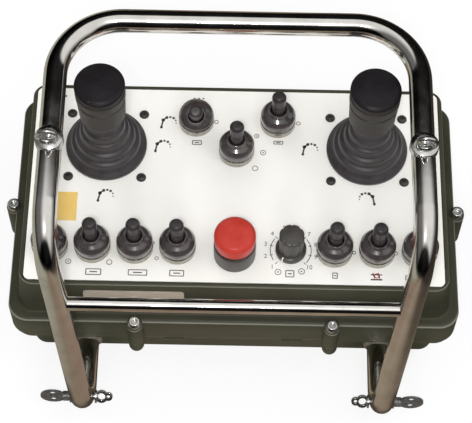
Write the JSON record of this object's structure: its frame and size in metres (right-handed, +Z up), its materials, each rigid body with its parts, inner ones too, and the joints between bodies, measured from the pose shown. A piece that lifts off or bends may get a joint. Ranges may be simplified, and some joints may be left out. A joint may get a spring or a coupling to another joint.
{
  "type": "crane radio remote control",
  "caption": "Belt-carried crane remote: flat case with joysticks, booted toggle switches, stop button and speed knob under a bent tube guard.",
  "frame": {"origin": "centre of the lower case's underside", "axes": "+X is the operator's right, +Y points away from the operator, +Z is up"},
  "size_m": [0.42, 0.3003, 0.2825],
  "materials": {
    "case_plastic": "satin",
    "seal_rubber": "matte",
    "panel_plastic": "satin",
    "screw_steel": "bright",
    "plate_metal": "satin",
    "tube_chrome": "polished",
    "black_screw_steel": "black oxide",
    "inner_plastic": "matte",
    "gimbal_metal": "machined",
    "grip_plastic": "satin",
    "ring_chrome": "polished",
    "lever_plastic": "gloss",
    "collar_plastic": "satin",
    "stop_red": "satin",
    "board_laminate": "satin",
    "standoff_brass": "machined",
    "module_metal": "satin",
    "antenna_rubber": "matte"
  },
  "bodies": {
    "case": {"lower_case": "case_plastic", "upper_cover": "case_plastic", "service_plate": "case_plastic", "case_seal": "seal_rubber", "panel_seal": "seal_rubber", "left_bellows": "seal_rubber", "right_bellows": "seal_rubber", "toggle_boots": "seal_rubber", "control_panel": "panel_plastic", "case_screws": "screw_steel", "eye_screws": "screw_steel", "plate_screws": "screw_steel", "hoop_end_bolts": "screw_steel", "stop_nut": "screw_steel", "stop_spring": "screw_steel", "dial_control": "screw_steel", "nameplate": "plate_metal", "guard_hoop": "tube_chrome", "cross_bar": "tube_chrome", "hoop_collars": "tube_chrome", "strap_eyes": "tube_chrome", "joystick_screws": "black_screw_steel", "joystick_housings": "inner_plastic", "toggle_bodies": "inner_plastic", "stop_contacts": "inner_plastic", "battery_pack": "inner_plastic", "toggle_rings": "ring_chrome", "stop_collar": "collar_plastic", "main_board": "board_laminate", "board_standoffs": "standoff_brass", "radio_module": "module_metal", "antenna": "antenna_rubber"},
    "left_gimbal_ring": {"left_gimbal": "gimbal_metal"},
    "left_joystick": {"left_shaft": "gimbal_metal", "left_spring": "screw_steel", "left_grip": "grip_plastic", "left_grip_cap": "grip_plastic"},
    "right_gimbal_ring": {"right_gimbal": "gimbal_metal"},
    "right_joystick": {"right_shaft": "gimbal_metal", "right_spring": "screw_steel", "right_grip": "grip_plastic", "right_grip_cap": "grip_plastic"},
    "toggle_1": {"toggle_lever_1": "lever_plastic"},
    "toggle_2": {"toggle_lever_2": "lever_plastic"},
    "toggle_3": {"toggle_lever_3": "lever_plastic"},
    "toggle_4": {"toggle_lever_4": "lever_plastic"},
    "toggle_5": {"toggle_lever_5": "lever_plastic"},
    "toggle_6": {"toggle_lever_6": "lever_plastic"},
    "toggle_7": {"toggle_lever_7": "lever_plastic"},
    "toggle_8": {"toggle_lever_8": "lever_plastic"},
    "toggle_9": {"toggle_lever_9": "lever_plastic"},
    "toggle_10": {"toggle_lever_10": "lever_plastic"},
    "stop_push": {"stop_plunger": "inner_plastic"},
    "stop_turn": {"stop_head": "stop_red"},
    "speed_knob": {"dial_shaft": "screw_steel", "dial_knob": "collar_plastic"},
    "left_swivel": {"left_strap_pin": "tube_chrome", "left_strap_tag": "tube_chrome"},
    "right_swivel": {"right_strap_pin": "tube_chrome", "right_strap_tag": "tube_chrome"}
  },
  "joints": [
    {"name": "left_joystick_fore_aft", "type": "hinge", "parent": "case", "child": "left_gimbal_ring", "pos_m": [-0.1175, 0.0375, 0.118], "axis": [1, 0, 0], "range_deg": [-18, 18], "stiffness_Nm_per_rad": 2, "deforming": ["left_bellows"]},
    {"name": "left_joystick_side_to_side", "type": "hinge", "parent": "left_gimbal_ring", "child": "left_joystick", "pos_m": [-0.1175, 0.0375, 0.118], "axis": [0, 1, 0], "range_deg": [-18, 18], "stiffness_Nm_per_rad": 2, "deforming": ["left_bellows"]},
    {"name": "right_joystick_fore_aft", "type": "hinge", "parent": "case", "child": "right_gimbal_ring", "pos_m": [0.1175, 0.0375, 0.118], "axis": [1, 0, 0], "range_deg": [-18, 18], "stiffness_Nm_per_rad": 2, "deforming": ["right_bellows"]},
    {"name": "right_joystick_side_to_side", "type": "hinge", "parent": "right_gimbal_ring", "child": "right_joystick", "pos_m": [0.1175, 0.0375, 0.118], "axis": [0, 1, 0], "range_deg": [-18, 18], "stiffness_Nm_per_rad": 2, "deforming": ["right_bellows"]},
    {"name": "toggle_1_throw", "type": "hinge", "parent": "case", "child": "toggle_1", "pos_m": [-0.037, 0.064, 0.139], "axis": [1, 0, 0], "range_deg": [-44, 0], "deforming": ["toggle_boots"]},
    {"name": "toggle_2_throw", "type": "hinge", "parent": "case", "child": "toggle_2", "pos_m": [0, 0.033, 0.139], "axis": [1, 0, 0], "range_deg": [-22, 22], "deforming": ["toggle_boots"]},
    {"name": "toggle_3_throw", "type": "hinge", "parent": "case", "child": "toggle_3", "pos_m": [0.037, 0.064, 0.139], "axis": [1, 0, 0], "range_deg": [-22, 22], "deforming": ["toggle_boots"]},
    {"name": "toggle_4_throw", "type": "hinge", "parent": "case", "child": "toggle_4", "pos_m": [-0.1616, -0.065, 0.139], "axis": [1, 0, 0], "range_deg": [-22, 22], "stiffness_Nm_per_rad": 0.3, "deforming": ["toggle_boots"]},
    {"name": "toggle_5_throw", "type": "hinge", "parent": "case", "child": "toggle_5", "pos_m": [-0.1244, -0.065, 0.139], "axis": [1, 0, 0], "range_deg": [-22, 22], "stiffness_Nm_per_rad": 0.3, "deforming": ["toggle_boots"]},
    {"name": "toggle_6_throw", "type": "hinge", "parent": "case", "child": "toggle_6", "pos_m": [-0.0872, -0.065, 0.139], "axis": [1, 0, 0], "range_deg": [-22, 22], "stiffness_Nm_per_rad": 0.3, "deforming": ["toggle_boots"]},
    {"name": "toggle_7_throw", "type": "hinge", "parent": "case", "child": "toggle_7", "pos_m": [-0.05, -0.065, 0.139], "axis": [1, 0, 0], "range_deg": [-22, 22], "stiffness_Nm_per_rad": 0.3, "deforming": ["toggle_boots"]},
    {"name": "toggle_8_throw", "type": "hinge", "parent": "case", "child": "toggle_8", "pos_m": [0.0872, -0.065, 0.139], "axis": [1, 0, 0], "range_deg": [-22, 22], "stiffness_Nm_per_rad": 0.3, "deforming": ["toggle_boots"]},
    {"name": "toggle_9_throw", "type": "hinge", "parent": "case", "child": "toggle_9", "pos_m": [0.1244, -0.065, 0.139], "axis": [1, 0, 0], "range_deg": [-22, 22], "stiffness_Nm_per_rad": 0.3, "deforming": ["toggle_boots"]},
    {"name": "toggle_10_throw", "type": "hinge", "parent": "case", "child": "toggle_10", "pos_m": [0.1616, -0.065, 0.139], "axis": [1, 0, 0], "range_deg": [-22, 22], "stiffness_Nm_per_rad": 0.3, "deforming": ["toggle_boots"]},
    {"name": "stop_press", "type": "slide", "parent": "case", "child": "stop_push", "axis": [0, 0, 1], "range_m": [-0.003, 0], "stiffness_N_per_m": 4000, "deforming": ["stop_spring"]},
    {"name": "stop_twist", "type": "hinge", "parent": "stop_push", "child": "stop_turn", "pos_m": [0, -0.069, 0.133], "axis": [0, 0, 1], "range_deg": [-45, 0], "stiffness_Nm_per_rad": 0.2},
    {"name": "speed_knob_turn", "type": "hinge", "parent": "case", "child": "speed_knob", "pos_m": [0.049, -0.065, 0.133], "axis": [0, 0, 1], "range_deg": [-270, 0]},
    {"name": "left_strap_swivel", "type": "hinge", "parent": "case", "child": "left_swivel", "pos_m": [-0.13467, -0.16147, 0.02211], "axis": [1, 0, 0], "continuous": true},
    {"name": "right_strap_swivel", "type": "hinge", "parent": "case", "child": "right_swivel", "pos_m": [0.13467, -0.16147, 0.02211], "axis": [1, 0, 0], "continuous": true}
  ]
}
